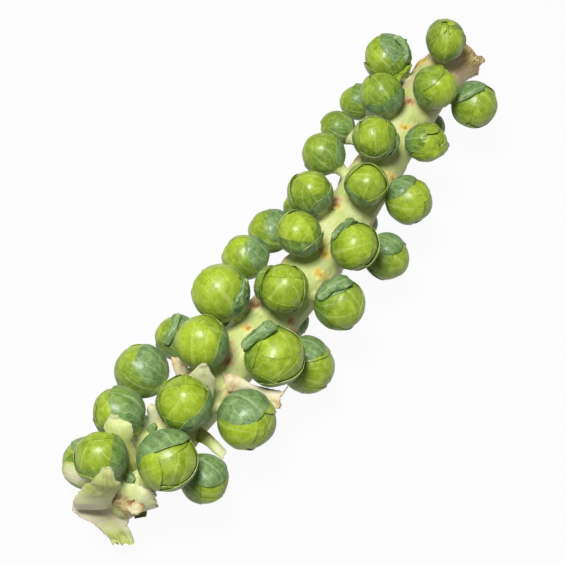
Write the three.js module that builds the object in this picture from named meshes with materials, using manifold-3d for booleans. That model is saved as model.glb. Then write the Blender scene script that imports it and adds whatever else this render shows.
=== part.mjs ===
import * as THREE from "three";
import { mergeVertices } from "three/addons/utils/BufferGeometryUtils.js";
import Module from "manifold-3d";

// A Brussels sprout stalk, cut off at the root, stripped of its leaves and laid on its side.
// Lengths are millimetres. +X runs along the stalk from the woody butt to the crown, +Z is up,
// and z = 0 is the surface that the undermost sprouts rest on.
// A station is a distance from the butt along the stalk. A bearing is an angle round the stalk
// in degrees, from straight up towards +Y.

// ---------------------------------------------------------------- driving dimensions

const STALK_LENGTH = 466;
const AXIS_HEIGHT = 52; // stalk axis above the surface
const STALK_RADIUS = 18;
const MIDDLE_SWELL = { radius: 1.6, station: 275, spread: 90 };
const BUTT_FLARE = { radius: 1.6, spread: 25 };
const CROWN_TAPER = { radius: 3.5, station: 370 };
const SIDE_BOW = { offset: 7, station: 250, spread: 80 }; // the axis bows this far towards +Y
const BUTT_BEND = { offset: 8, start: 30, end: 170 }; // and the butt end kinks this far to -Y

// One leaf axil after another climbs the stalk on a spiral of near the golden angle.
const FIRST_AXIL = 38;
const AXIL_SPACING = 8.05;
const FIRST_BEARING = -13;
const DIVERGENCE = -138.5;

const NECK_LENGTH = 6; // from the stalk's skin to the head
const NECK_RADIUS = 4.5;
const HEAD_STRETCH = 1.03; // a head is slightly longer than wide
const HEAD_FOOT_LATITUDE = -66; // where the round of the head meets the neck, degrees
const SEAT_GAP = 0.8; // between a neck or a leaf stub and the skin
const HEAD_CLEARANCE = 0.6; // between a head and a leaf stub beside it
const STUB_BULGE = 0.32; // how round the back of a leaf stub is, for a width of one
const SETTLE = 1.2; // how far a loaded head is pressed flat

const SCAR_DROP = 14; // a leaf scar lies this far below its sprout, towards the butt
const SCAR_SWELL = 1.6;
const SCAR_SPREAD = 6;

const HEAD_SIDES = 9;
const HEAD_ROWS = 7;
const RESTING_SIDES = 14;
const RESTING_ROWS = 10;
const STALK_SIDES = 16;
const STALK_RINGS = 52;
const STUB_STEPS = 5;
const STUB_ARC_STEPS = 4;
const CUT_SIDES = 24;
const CUT_ROWS = 16;
const SURFACE_BLOCK = 120;

// Every axil that holds a sprout, from the butt upwards. along and around say how far its head
// has strayed from the spiral into free space (mm towards the crown, degrees), and neck is given
// where the head stands closer or further out. A resting head reaches the surface below.
const SPROUTS = [
  { axil: 0, diameter: 33, around: 14 },
  { axil: 1, diameter: 30, along: -8, rests: true },
  { axil: 2, diameter: 36, along: 4, around: 3 },
  { axil: 3, diameter: 37, neck: 5, around: 8 },
  { axil: 4, diameter: 26, along: -10, around: 17, rests: true },
  { axil: 5, diameter: 32, around: 4 },
  { axil: 6, diameter: 28, neck: 12, along: 8, around: 28 },
  { axil: 8, diameter: 33, neck: 4, along: 1, around: 11 },
  { axil: 9, diameter: 28, neck: 5, around: 18 },
  { axil: 10, diameter: 31, around: 3 },
  { axil: 11, diameter: 27, neck: 12, along: 3, around: 11 },
  { axil: 12, diameter: 22, neck: 3, along: 8, around: 15 },
  { axil: 13, diameter: 33, neck: 5, along: 2, around: 7 },
  { axil: 14, diameter: 29, along: -8, around: -4, rests: true },
  { axil: 15, diameter: 35, neck: 5, along: 5, around: -4 },
  { axil: 16, diameter: 33, along: -3, around: 3 },
  { axil: 17, diameter: 26, along: -8, around: 27, rests: true },
  { axil: 18, diameter: 31 },
  { axil: 19, diameter: 28, neck: 8, along: 5, around: 14 },
  { axil: 20, diameter: 34, neck: 5, along: 4, around: -4 },
  { axil: 21, diameter: 33, neck: 5, around: 6 },
  { axil: 22, diameter: 28, neck: 5, around: 18 },
  { axil: 23, diameter: 35, neck: 5, along: 4, around: -4 },
  { axil: 24, diameter: 33, neck: 7, around: 4 },
  { axil: 25, diameter: 26, neck: 3, along: 8, around: 15 },
  { axil: 26, diameter: 33, along: -3 },
  { axil: 27, diameter: 28, along: -8, around: -3, rests: true },
  { axil: 28, diameter: 37, neck: 5, along: 2, around: -6 },
  { axil: 29, diameter: 33, along: -2, around: 4 },
  { axil: 30, diameter: 27, along: -10, around: 28, rests: true },
  { axil: 31, diameter: 34, around: -3 },
  { axil: 32, diameter: 32 },
  { axil: 33, diameter: 39, neck: 4, along: 5, around: -4 },
  { axil: 34, diameter: 41, neck: 5, around: 6 },
  { axil: 35, diameter: 28, neck: 5, around: 18 },
  { axil: 36, diameter: 41, along: 2, around: 2 },
  { axil: 37, diameter: 32, neck: 8, along: 5, around: 5 },
  { axil: 39, diameter: 37, around: 1 },
  { axil: 40, diameter: 34, along: 4, around: -12, rests: true },
  { axil: 41, diameter: 40, neck: 5, along: 4, around: -1 },
  { axil: 42, diameter: 37, along: 4, around: -6 },
  { axil: 44, diameter: 37, along: 2, around: -3 },
  { axil: 45, diameter: 24, neck: 4, along: 4, around: -15 },
  { axil: 46, diameter: 34, neck: 3, along: 9, around: -9 },
  { axil: 47, diameter: 35, along: 3 },
  { axil: 49, diameter: 39, along: -2, around: -11 },
  { axil: 50, diameter: 36, neck: 5, along: 7, around: -9 },
  { axil: 52, diameter: 35, neck: 7, along: -4, around: -8 },
];

// Leaf stalks snapped off near the crown. Each stands on the stalk at a station and bearing.
// bend and tip are the control point and the end of its middle line, as distances out from the
// skin, along the stalk and round it.
const LEAF_STUBS = [
  { axil: 41, station: 352, bearing: 62, width: 14, tipWidth: 9, thickness: 2.4,
    bend: [16, 0, 0], tip: [34, 2, 4] },
  { axil: 42, station: 366, bearing: -70, width: 15, tipWidth: 9, thickness: 3.2,
    bend: [8, 0, 0], tip: [15, -6, 0] },
  { axil: 44, station: 376, bearing: 8, width: 18, tipWidth: 13, thickness: 3.6,
    bend: [18, 0, -2], tip: [30, -12, -4] },
  { axil: 46, station: 398, bearing: 76, width: 19, tipWidth: 12, thickness: 4,
    bend: [13, 0, 0], tip: [23, 0, 2] },
  { axil: 47, station: 405, bearing: -38, width: 15, tipWidth: 10, thickness: 3.4,
    bend: [8, 0, 1], tip: [14, -2, 3] },
  { axil: 50, station: 431, bearing: -100, width: 18, tipWidth: 12, thickness: 3.4,
    bend: [9, 0, 0], tip: [16, -3, 0] },
  { axil: 52, station: 435, bearing: -14, width: 16, tipWidth: 17, thickness: 3.6,
    bend: [20, -2, 2], tip: [38, -1, 0] },
  { axil: 54, station: 456, bearing: 50, width: 21, tipWidth: 18, thickness: 3.8,
    bend: [8, 0, 0], tip: [15, -5, 0] },
  { axil: 55, station: 462, bearing: -96, width: 27, tipWidth: 11, thickness: 4,
    bend: [25, 21, -42], tip: [-19, 2, 52] },
  { axil: 57, station: 461, bearing: 165, width: 16, tipWidth: 12, thickness: 3.4,
    bend: [8, 6, 0], tip: [17, 12, 2] },
];

const SPROUT_GREEN = { color: 0x8fb02e, roughness: 0.42, metalness: 0 };
const STALK_GREEN = { color: 0xc9d49a, roughness: 0.6, metalness: 0 };
const STUB_GREEN = { color: 0xdce3b0, roughness: 0.6, metalness: 0 };

// ---------------------------------------------------------------- the stalk as a curved frame

const X_AXIS = new THREE.Vector3(1, 0, 0);
const LATHE_AXIS = new THREE.Vector3(0, 1, 0);
const radians = THREE.MathUtils.degToRad;
const hill = (distance, spread) => Math.exp(-((distance / spread) ** 2));

function stalkRadius(station) {
  const taper = THREE.MathUtils.clamp(
    (station - CROWN_TAPER.station) / (STALK_LENGTH - CROWN_TAPER.station), 0, 1);
  return STALK_RADIUS
    + MIDDLE_SWELL.radius * hill(station - MIDDLE_SWELL.station, MIDDLE_SWELL.spread)
    + BUTT_FLARE.radius * Math.exp(-station / BUTT_FLARE.spread)
    - CROWN_TAPER.radius * taper ** 2;
}

function axisPoint(station) {
  const bow = SIDE_BOW.offset * hill(station - SIDE_BOW.station, SIDE_BOW.spread);
  const kink = BUTT_BEND.offset
    * (1 - THREE.MathUtils.smoothstep(station, BUTT_BEND.start, BUTT_BEND.end));
  return new THREE.Vector3(station, bow - kink, AXIS_HEIGHT);
}

function outward(bearing) {
  return new THREE.Vector3(0, Math.sin(radians(bearing)), Math.cos(radians(bearing)));
}

function aroundward(bearing) {
  return new THREE.Vector3(0, Math.cos(radians(bearing)), -Math.sin(radians(bearing)));
}

function axilPlace(axil) {
  return {
    station: FIRST_AXIL + AXIL_SPACING * axil,
    bearing: FIRST_BEARING + DIVERGENCE * axil,
  };
}

function sproutPlace({ axil, along = 0, around = 0 }) {
  const { station, bearing } = axilPlace(axil);
  return { station: station + along, bearing: bearing + around };
}

function namedMesh(name, geometry, finish) {
  const mesh = new THREE.Mesh(geometry, new THREE.MeshStandardMaterial(finish));
  mesh.name = name;
  return mesh;
}

function nodeName(kind, axil) {
  return `${kind}_${String(axil).padStart(2, "0")}`;
}

// ---------------------------------------------------------------- cutting with manifold-3d

const wasm = await Module();
wasm.setup();

function solidOf(geometry) {
  const bare = geometry.clone();
  bare.deleteAttribute("normal");
  bare.deleteAttribute("uv");
  const merged = mergeVertices(bare, 1e-4);
  return new wasm.Manifold(new wasm.Mesh({
    numProp: 3,
    vertProperties: new Float32Array(merged.attributes.position.array),
    triVerts: new Uint32Array(merged.index.array),
  }));
}

function geometryOf(solid) {
  const mesh = solid.getMesh();
  const geometry = new THREE.BufferGeometry();
  geometry.setAttribute("position", new THREE.BufferAttribute(mesh.vertProperties, 3));
  geometry.setIndex(new THREE.BufferAttribute(mesh.triVerts, 1));
  geometry.computeVertexNormals();
  return geometry;
}

// ---------------------------------------------------------------- stalk

// How far the skin stands out around the leaf scars.
function scarSwell(station, bearing) {
  let swell = 0;
  for (const sprout of SPROUTS) {
    const place = sproutPlace(sprout);
    const alongSkin = station - (place.station - SCAR_DROP);
    const turn = radians(bearing - place.bearing);
    const aroundSkin = stalkRadius(station) * Math.atan2(Math.sin(turn), Math.cos(turn));
    swell += SCAR_SWELL * hill(Math.hypot(alongSkin, aroundSkin), SCAR_SPREAD);
  }
  return swell;
}

// Where a neck or a leaf stub ends, just off the skin.
function seatRadius(station, bearing) {
  return stalkRadius(station) + scarSwell(station, bearing) + SEAT_GAP;
}

// A turned rod whose rings are then moved onto the bowed axis and out to the skin.
function stalkGeometry() {
  const profile = [new THREE.Vector2(0, 0)];
  for (let ring = 0; ring <= STALK_RINGS; ring += 1) {
    profile.push(new THREE.Vector2(STALK_RADIUS, (STALK_LENGTH * ring) / STALK_RINGS));
  }
  profile.push(new THREE.Vector2(0, STALK_LENGTH));
  const geometry = new THREE.LatheGeometry(profile, STALK_SIDES);
  const position = geometry.attributes.position;
  for (let i = 0; i < position.count; i += 1) {
    const station = position.getY(i);
    const onSkin = Math.hypot(position.getX(i), position.getZ(i)) > STALK_RADIUS / 2;
    const bearing = THREE.MathUtils.radToDeg(Math.atan2(-position.getX(i), position.getZ(i)));
    const reach = onSkin ? stalkRadius(station) + scarSwell(station, bearing) : 0;
    const point = axisPoint(station).addScaledVector(outward(bearing), reach);
    position.setXYZ(i, point.x, point.y, point.z);
  }
  geometry.computeVertexNormals();
  return geometry;
}

// ---------------------------------------------------------------- sprouts

// Profile of a sprout about its own axis, with the head's centre at the origin: a short neck
// that widens into a round head.
function sproutGeometry(radius, neck, sides, rows) {
  const profile = [
    new THREE.Vector2(0, -radius - neck),
    new THREE.Vector2(NECK_RADIUS, -radius - neck),
  ];
  for (let row = 0; row < rows; row += 1) {
    const latitude = radians(THREE.MathUtils.lerp(HEAD_FOOT_LATITUDE, 90, row / rows));
    profile.push(new THREE.Vector2(
      radius * Math.cos(latitude), radius * HEAD_STRETCH * Math.sin(latitude)));
  }
  profile.push(new THREE.Vector2(0, radius * HEAD_STRETCH));
  return new THREE.LatheGeometry(profile, sides);
}

// The distance of a head's centre from the stalk's axis. A resting head is pressed flat by SETTLE.
function headReach(sprout) {
  const { station, bearing } = sproutPlace(sprout);
  const radius = sprout.diameter / 2;
  if (sprout.rests) {
    return (AXIS_HEIGHT + SETTLE - radius) / -Math.cos(radians(bearing));
  }
  return stalkRadius(station) + (sprout.neck ?? NECK_LENGTH) + radius;
}

// The surface, as a block that reaches past a head on every side.
function surfaceBlock(centre) {
  return new THREE.BoxGeometry(SURFACE_BLOCK, SURFACE_BLOCK, SURFACE_BLOCK)
    .translate(centre.x, centre.y, -SURFACE_BLOCK / 2);
}

function sproutMesh(sprout) {
  const { station, bearing } = sproutPlace(sprout);
  const radius = sprout.diameter / 2;
  const reach = headReach(sprout);
  const neck = reach - radius - seatRadius(station, bearing);
  const centre = axisPoint(station).addScaledVector(outward(bearing), reach);
  const turn = new THREE.Quaternion().setFromUnitVectors(LATHE_AXIS, outward(bearing));
  const name = nodeName("sprout", sprout.axil);
  if (!sprout.rests) {
    const mesh = namedMesh(name, sproutGeometry(radius, neck, HEAD_SIDES, HEAD_ROWS), SPROUT_GREEN);
    mesh.quaternion.copy(turn);
    mesh.position.copy(centre);
    return mesh;
  }
  const placed = sproutGeometry(radius, neck, RESTING_SIDES, RESTING_ROWS)
    .applyQuaternion(turn)
    .translate(centre.x, centre.y, centre.z);
  const pressed = solidOf(placed).subtract(solidOf(surfaceBlock(centre)));
  return namedMesh(name, geometryOf(pressed), SPROUT_GREEN);
}

// ---------------------------------------------------------------- leaf stubs

// Cross-section of a leaf stalk, one unit wide: its back is round and its inner side hollow.
function crescent(thicknessRatio) {
  const shape = new THREE.Shape();
  shape.moveTo(-0.5, 0);
  shape.quadraticCurveTo(0, -2 * STUB_BULGE, 0.5, 0);
  shape.quadraticCurveTo(0, -2 * (STUB_BULGE - thicknessRatio), -0.5, 0);
  return shape;
}

function stubGeometry(stub) {
  const { station, bearing, width, tipWidth, thickness, bend, tip } = stub;
  const geometry = new THREE.ExtrudeGeometry(crescent(thickness / width), {
    depth: 1, steps: STUB_STEPS, bevelEnabled: false, curveSegments: STUB_ARC_STEPS,
  });
  const out = outward(bearing);
  const around = aroundward(bearing);
  const foot = axisPoint(station).addScaledVector(out, seatRadius(station, bearing));
  const reachBy = ([far, along, round]) => foot.clone()
    .addScaledVector(out, far)
    .addScaledVector(X_AXIS, along)
    .addScaledVector(around, round);
  const middleLine = new THREE.QuadraticBezierCurve3(foot, reachBy(bend), reachBy(tip));

  // The section stands square to the middle line, with its hollow side towards the crown.
  function place(across, inner, t) {
    const size = THREE.MathUtils.lerp(width, tipWidth, t);
    const tangent = middleLine.getTangent(t);
    const sideways = around.clone().addScaledVector(tangent, -around.dot(tangent)).normalize().negate();
    const inward = new THREE.Vector3().crossVectors(tangent, sideways);
    return middleLine.getPoint(t)
      .addScaledVector(sideways, across * size)
      .addScaledVector(inward, inner * size);
  }

  const position = geometry.attributes.position;
  for (let i = 0; i < position.count; i += 1) {
    const [across, inner, t] = [position.getX(i), position.getY(i), position.getZ(i)];
    const atFoot = place(across, inner, 0);
    const fromAxis = atFoot.clone().sub(axisPoint(atFoot.x));
    const footBearing = THREE.MathUtils.radToDeg(Math.atan2(fromAxis.y, fromAxis.z));
    const lift = seatRadius(atFoot.x, footBearing) - fromAxis.length();
    const point = place(across, inner, t)
      .addScaledVector(fromAxis.normalize(), lift * (1 - t));
    position.setXYZ(i, point.x, point.y, point.z);
  }
  return clearOfHeads(geometry);
}

// A stub that stands against a head is cut back so that it clears it.
function clearOfHeads(geometry) {
  geometry.computeBoundingBox();
  let solid = solidOf(geometry);
  for (const sprout of SPROUTS) {
    const { station, bearing } = sproutPlace(sprout);
    const centre = axisPoint(station).addScaledVector(outward(bearing), headReach(sprout));
    const radius = HEAD_STRETCH * sprout.diameter / 2 + HEAD_CLEARANCE;
    if (geometry.boundingBox.distanceToPoint(centre) < radius) {
      const space = new THREE.SphereGeometry(radius, CUT_SIDES, CUT_ROWS)
        .translate(centre.x, centre.y, centre.z);
      solid = solid.subtract(solidOf(space));
    }
  }
  return geometryOf(solid);
}

// ---------------------------------------------------------------- assembly

const stalk = new THREE.Group();
stalk.add(namedMesh("stalk", stalkGeometry(), STALK_GREEN));
for (const sprout of SPROUTS) {
  stalk.add(sproutMesh(sprout));
}
for (const stub of LEAF_STUBS) {
  stalk.add(namedMesh(nodeName("leaf_stub", stub.axil), stubGeometry(stub), STUB_GREEN));
}

// The origin is the middle of the footprint, on the surface.
const whole = new THREE.Box3().setFromObject(stalk, true);
stalk.position.set(-(whole.min.x + whole.max.x) / 2, -(whole.min.y + whole.max.y) / 2, 0);

export default stalk;
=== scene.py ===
import math
import random

import bpy
import numpy as np
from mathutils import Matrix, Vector, noise


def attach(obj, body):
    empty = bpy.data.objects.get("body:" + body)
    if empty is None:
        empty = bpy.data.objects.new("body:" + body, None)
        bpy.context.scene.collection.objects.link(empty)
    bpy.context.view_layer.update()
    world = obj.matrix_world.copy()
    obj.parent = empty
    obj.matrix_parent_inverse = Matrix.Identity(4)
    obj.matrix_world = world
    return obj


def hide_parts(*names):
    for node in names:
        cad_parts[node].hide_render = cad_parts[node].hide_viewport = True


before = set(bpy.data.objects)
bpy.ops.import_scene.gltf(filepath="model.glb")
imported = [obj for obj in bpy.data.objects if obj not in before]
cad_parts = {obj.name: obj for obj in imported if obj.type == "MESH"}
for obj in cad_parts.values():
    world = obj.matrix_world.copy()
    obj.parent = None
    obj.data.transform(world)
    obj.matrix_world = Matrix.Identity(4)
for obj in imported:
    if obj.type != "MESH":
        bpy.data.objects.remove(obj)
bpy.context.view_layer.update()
bpy.ops.object.select_all(action="DESELECT")


# ---------------------------------------------------------------------------
# Stalk. The thick pale stem of the plant, woody under a waxy green rind. Its skin swells into
# a shield-shaped corky scar wherever a leaf was snapped off, and its butt is torn and brown.

STALK_SUBDIVISIONS = 3
SCAR_DROP = 0.014  # the scar lies this far towards the butt from the sprout in its axil
SCAR_HALF_LENGTH = 0.0074
SCAR_HALF_WIDTH = 0.0100
SCAR_HEIGHT = 0.0007
SCAR_DISH = 0.6  # of the scar's height, by which its middle is sunk
OLD_WOUND_HEIGHT = 0.0004
COLLAR_HEIGHT = 0.0010  # of the skin around a sprout's neck
COLLAR_RADIUS = 0.0075
RIB_COUNT = 11
RIB_HEIGHT = 0.00012
RIB_TWIST = 14  # radians per metre
LUMP_SIZE = 0.022
LUMP_HEIGHT = 0.0007
GRAIN_SIZE = 0.003
GRAIN_HEIGHT = 0.00025
TORN_LENGTH = 0.020  # of the frayed wood at the butt
TORN_BACK = 0.0068  # the wood has torn back by this much
TORN_DEPTH = 0.004
TORN_FLARE = 0.0028
FRAY_SIZE = 0.0035
FRAY_HEIGHT = 0.0012
BUTT_BEND = np.array([0.003, 0.005, -0.003])  # the last few centimetres droop
BUTT_BEND_LENGTH = 0.045
SPUR_BEARING = math.radians(78)
SPUR_HALF_WIDTH = 0.16  # radians
SPUR_LENGTH = 0.008
BARE_WOOD = (0.014, 0.042)  # from the butt's end: all wood before, all rind after
WEATHERED = (0.03, 0.14)  # from the butt's end: pinkish tan before, green after
CROWN_WOUND = (0.004, 0.014)  # from the crown's end: torn flesh before, rind after
PATCH_SIZE = 0.009
PATCH_WANDER = 0.012  # of the edges of these three

# Old wounds on the skin, apart from the leaf scars: place along the stalk in metres, bearing round
# it in degrees, and half width in metres.
OLD_WOUNDS = [
    (0.0759, -3, 0.0060), (0.1040, 12, 0.0075), (-0.1534, -5, 0.0070), (-0.1309, 16, 0.0060),
    (0.0109, 34, 0.0065), (0.0577, -23, 0.0065), (0.0506, 53, 0.0060), (-0.0433, -20, 0.0065),
    (-0.0041, 19, 0.0070), (0.0920, -12, 0.0050), (-0.1967, -48, 0.0085), (-0.0870, 30, 0.0060)]


def node_points(name):
    """The vertices of a solid of the part, in metres."""
    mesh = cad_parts[name].data
    points = np.empty(len(mesh.vertices) * 3)
    mesh.vertices.foreach_get("co", points)
    return points.reshape(-1, 3)


def make_active(piece):
    bpy.ops.object.select_all(action="DESELECT")
    piece.select_set(True)
    bpy.context.view_layer.objects.active = piece


def read_points(piece):
    points = np.empty(len(piece.data.vertices) * 3)
    piece.data.vertices.foreach_get("co", points)
    return points.reshape(-1, 3)


def write_points(piece, points):
    piece.data.vertices.foreach_set("co", points.astype(np.float32).ravel())
    piece.data.update()


def paint(piece, name, values):
    """Stores one value per vertex for a material to read."""
    layer = piece.data.attributes.new(name, "FLOAT", "POINT")
    layer.data.foreach_set("value", np.broadcast_to(values, len(piece.data.vertices)).astype(np.float32))


def finish_with(piece, kind, **settings):
    """Adds a modifier and applies it."""
    make_active(piece)
    modifier = piece.modifiers.new(kind.title(), kind)
    for name, value in settings.items():
        setattr(modifier, name, value)
    bpy.ops.object.modifier_apply(modifier=modifier.name)


def smoothstep(low, high, x):
    t = np.clip((x - low) / (high - low), 0, 1)
    return t * t * (3 - 2 * t)


def lumps(points, size, seed=0.0):
    """Smooth noise between -1 and 1 at each point, with bumps of about that size."""
    shift = Vector((seed, 2 * seed, 3 * seed))
    return np.array([noise.noise(Vector(p) / size + shift) for p in points])


# The stalk's middle line, one point for each ring of its solid.
solid = node_points("stalk")
ring_x = np.unique(np.round(solid[:, 0], 4))
rings = [solid[np.abs(solid[:, 0] - x) < 1e-4] for x in ring_x]
ring_y = np.array([(ring[:, 1].min() + ring[:, 1].max()) / 2 for ring in rings])
ring_z = np.array([(ring[:, 2].min() + ring[:, 2].max()) / 2 for ring in rings])


def middle_line(x):
    return np.stack([x, np.interp(x, ring_x, ring_y), np.interp(x, ring_x, ring_z)], -1)


# Sprouts that grew squeezed: the direction they are narrower in, and by how much.
NOT_SQUEEZED = ((1.0, 0, 0), 1.0)
SQUEEZED = {"sprout_00": ((-0.559, 0.829, 0.0), 0.90), "sprout_10": ((-0.718, -0.484, 0.5), 0.88)}

# Where each sprout grows: the point of the middle line that it grows from, the foot of its neck
# on the skin, which way it points, and the middle and the radius of its ball.
sprout_nodes = sorted(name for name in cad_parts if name.startswith("sprout_"))
heads = {}
for name in sprout_nodes:
    points = node_points(name)
    x = (points[:, 0].min() + points[:, 0].max()) / 2
    root = middle_line(np.array([x]))[0]
    away = np.linalg.norm(points - root, axis=1)
    foot = points[away < away.min() + 0.0002].mean(0)
    out = (foot - root) / np.linalg.norm(foot - root)
    along = (points - root) @ out
    width = np.linalg.norm(points - root - along[:, None] * out, axis=1)
    radius = width.max()
    reach = along[width > 0.995 * radius].mean()
    heads[name] = {"root": root, "foot": foot, "out": out, "radius": radius,
                   "centre": root + reach * out, "squeeze": SQUEEZED.get(name, NOT_SQUEEZED)}

# The solid's loose triangles are merged and joined to quads, so that they subdivide smoothly.
stalk = bpy.data.objects.new("stalk_rind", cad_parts["stalk"].data.copy())
bpy.context.collection.objects.link(stalk)
stalk.data.materials.clear()
make_active(stalk)
bpy.ops.object.mode_set(mode="EDIT")
bpy.ops.mesh.select_all(action="SELECT")
bpy.ops.mesh.remove_doubles(threshold=1e-6)
bpy.ops.mesh.tris_convert_to_quads(face_threshold=math.radians(50), shape_threshold=math.radians(60))
bpy.ops.object.mode_set(mode="OBJECT")
finish_with(stalk, "SUBSURF", levels=STALK_SUBDIVISIONS, render_levels=STALK_SUBDIVISIONS)

points = read_points(stalk)
offset = points - middle_line(np.clip(points[:, 0], ring_x[0], ring_x[-1]))
offset[:, 0] = 0
skin_radius = np.linalg.norm(offset, axis=1)
bearing = np.arctan2(offset[:, 1], offset[:, 2])
outward = offset / np.maximum(skin_radius, 1e-6)[:, None]
on_side = smoothstep(0.004, 0.010, skin_radius)  # 0 in the middle of the two ends


def round_skin(turn):
    """How far round the skin each point is, in metres, from its turn away from a bearing."""
    return np.arctan2(np.sin(turn), np.cos(turn)) * skin_radius


# The relief of the skin: scars and collars at the sprouts, old wounds, ribs, lumps and grain.
rise = np.zeros(len(points))
scar = np.zeros(len(points))
for head in heads.values():
    turn = bearing - math.atan2(head["out"][1], head["out"][2])
    across = round_skin(turn)
    along = points[:, 0] - head["root"][0]
    ragged = 1 + 0.18 * np.sin(30 * turn + 900 * head["root"][0])
    shield = np.hypot((along + SCAR_DROP) / SCAR_HALF_LENGTH, across / SCAR_HALF_WIDTH) * ragged
    pad = 1 - smoothstep(0.7, 1.1, shield)
    dish = 1 - smoothstep(0.2, 0.7, shield)
    rise += SCAR_HEIGHT * (pad - SCAR_DISH * dish)
    scar = np.maximum(scar, 1 - smoothstep(0.0, 1.15, shield))
    rise += COLLAR_HEIGHT * np.exp(-((np.hypot(along, across) / COLLAR_RADIUS) ** 4))
for x, wound_bearing, size in OLD_WOUNDS:
    turn = bearing - math.radians(wound_bearing)
    patch = np.hypot((points[:, 0] - x) / (0.8 * size), round_skin(turn) / size)
    patch += 0.15 * np.sin(28 * turn + 700 * x)
    scar = np.maximum(scar, 1 - smoothstep(0.0, 1.15, patch))
    rise += OLD_WOUND_HEIGHT * (1 - smoothstep(0.6, 1.1, patch))
rise += RIB_HEIGHT * np.sin(RIB_COUNT * bearing + RIB_TWIST * points[:, 0])
rise += LUMP_HEIGHT * lumps(points, LUMP_SIZE)
rise += GRAIN_HEIGHT * lumps(points * np.array([0.3, 1, 1]), GRAIN_SIZE, 5)
points += outward * (rise * on_side)[:, None]

# The butt: frayed fibres, torn back unevenly and flared, with one spur, on an end that droops.
butt = 1 - smoothstep(ring_x[0], ring_x[0] + TORN_LENGTH, points[:, 0])
fray = lumps(points * np.array([0.2, 1, 1]), FRAY_SIZE, 9)
spur = np.exp(-(((bearing - SPUR_BEARING) / SPUR_HALF_WIDTH) ** 2)) * on_side
points[:, 0] += butt * (TORN_BACK + TORN_DEPTH * (0.4 + fray) - SPUR_LENGTH * spur)
flare = TORN_FLARE * butt ** 2 * (0.5 + fray) + FRAY_HEIGHT * butt * fray
points += outward * (flare * on_side)[:, None]
droop = 1 - smoothstep(ring_x[0] - 0.004, ring_x[0] + BUTT_BEND_LENGTH, points[:, 0])
points += droop[:, None] * BUTT_BEND
write_points(stalk, points)

patchy = PATCH_WANDER * lumps(points, PATCH_SIZE, 3)
from_butt = points[:, 0] + patchy - ring_x[0]
to_crown = ring_x[-1] - points[:, 0] - 0.5 * patchy
paint(stalk, "scar", scar)
paint(stalk, "woody", np.maximum(1 - smoothstep(*BARE_WOOD, from_butt),
                                 0.8 * (1 - smoothstep(*CROWN_WOUND, to_crown))))
paint(stalk, "weathered", 1 - smoothstep(*WEATHERED, from_butt + patchy))
bpy.ops.object.shade_smooth()


def srgb(hex_colour):
    """A colour written as #rrggbb, as linear RGBA."""
    channels = [int(hex_colour[i:i + 2], 16) / 255 for i in (1, 3, 5)]
    return [c / 12.92 if c <= 0.04045 else ((c + 0.055) / 1.055) ** 2.4 for c in channels] + [1]


def node(tree, kind, inputs=None, stops=(), **settings):
    """Adds a node with its settings, and with a value or a link on each input given. A node
    given as a value is linked by its first output, and a Mix node by its colour."""
    new = tree.nodes.new("ShaderNode" + kind)
    for name, value in settings.items():
        setattr(new, name, value)
    for key, value in (inputs or {}).items():
        if isinstance(value, bpy.types.Node):
            value = value.outputs[2 if value.bl_idname == "ShaderNodeMix" else 0]
        if isinstance(value, bpy.types.NodeSocket):
            tree.links.new(value, new.inputs[key])
        else:
            new.inputs[key].default_value = value
    for i, (position, colour) in enumerate(stops):
        element = new.color_ramp.elements[i] if i < 2 else new.color_ramp.elements.new(position)
        element.position = position
        element.color = srgb(colour)
    return new


def finish_of(name, **shader):
    """A material, its node tree and its shader, with the shader's inputs given by their names."""
    material = bpy.data.materials.new(name)
    material.use_nodes = True
    tree = material.node_tree
    principled = tree.nodes["Principled BSDF"]
    for key, value in shader.items():
        principled.inputs[key.replace("_", " ")].default_value = value
    return material, tree, principled


# Cabbage rind: waxy, so it has a soft shine, pale green with lighter fibres that run along the
# stalk, weathered to pinkish tan near the butt. Corky scars are golden or tan with brown specks,
# and torn wood is tan with brown and cream fibres.
rind, tree, shader = finish_of("waxy_rind", Roughness=0.5, Subsurface_Weight=0.10,
                               Subsurface_Radius=[0.0015, 0.0015, 0.0008])
scars, woody, weathered = (node(tree, "Attribute", attribute_name=name).outputs["Fac"]
                           for name in ("scar", "woody", "weathered"))
place = node(tree, "TexCoord").outputs["Object"]
stretched = node(tree, "Mapping", {"Vector": place, "Scale": [0.15, 1, 1]})
fibres = node(tree, "TexNoise", {"Vector": stretched, "Scale": 700, "Detail": 4})  # 1.4 mm apart
blotches = node(tree, "TexNoise", {"Vector": place, "Scale": 60, "Detail": 3})  # 17 mm
green = node(tree, "ValToRGB", {0: blotches},
             stops=[(0.30, "#b6c468"), (0.50, "#cad384"), (0.72, "#dbdea6")])
pale = node(tree, "ValToRGB", {0: fibres}, stops=[(0.42, "#b9c776"), (0.62, "#dbdfa6")])
skin = node(tree, "Mix", {0: 0.2, 6: green, 7: pale}, data_type="RGBA")
weathered = node(tree, "Math", {0: weathered, 1: blotches}, operation="MULTIPLY")
weathered = node(tree, "MapRange", {0: weathered, 1: 0.22, 2: 0.55, 4: 0.85})
skin = node(tree, "Mix", {0: weathered, 6: skin, 7: srgb("#d3b690")}, data_type="RGBA")
grain = node(tree, "TexNoise", {"Vector": place, "Scale": 220, "Detail": 5})  # 4.5 mm
ragged = node(tree, "Math", {0: grain, 1: 1.1, 2: -0.55}, operation="MULTIPLY_ADD")
scars = node(tree, "Math", {0: scars, 1: ragged}, operation="ADD")
healed = node(tree, "MapRange", {0: scars, 1: 0.08, 2: 0.40}, interpolation_type="SMOOTHSTEP")
specks = node(tree, "MapRange", {0: grain, 1: 0.62, 2: 0.72, 4: 0.7})
golden = node(tree, "ValToRGB", {0: scars},
              stops=[(0.15, "#dcd79c"), (0.40, "#e4d274"), (0.75, "#dabf5c"), (1.0, "#b3913f")])
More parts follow.
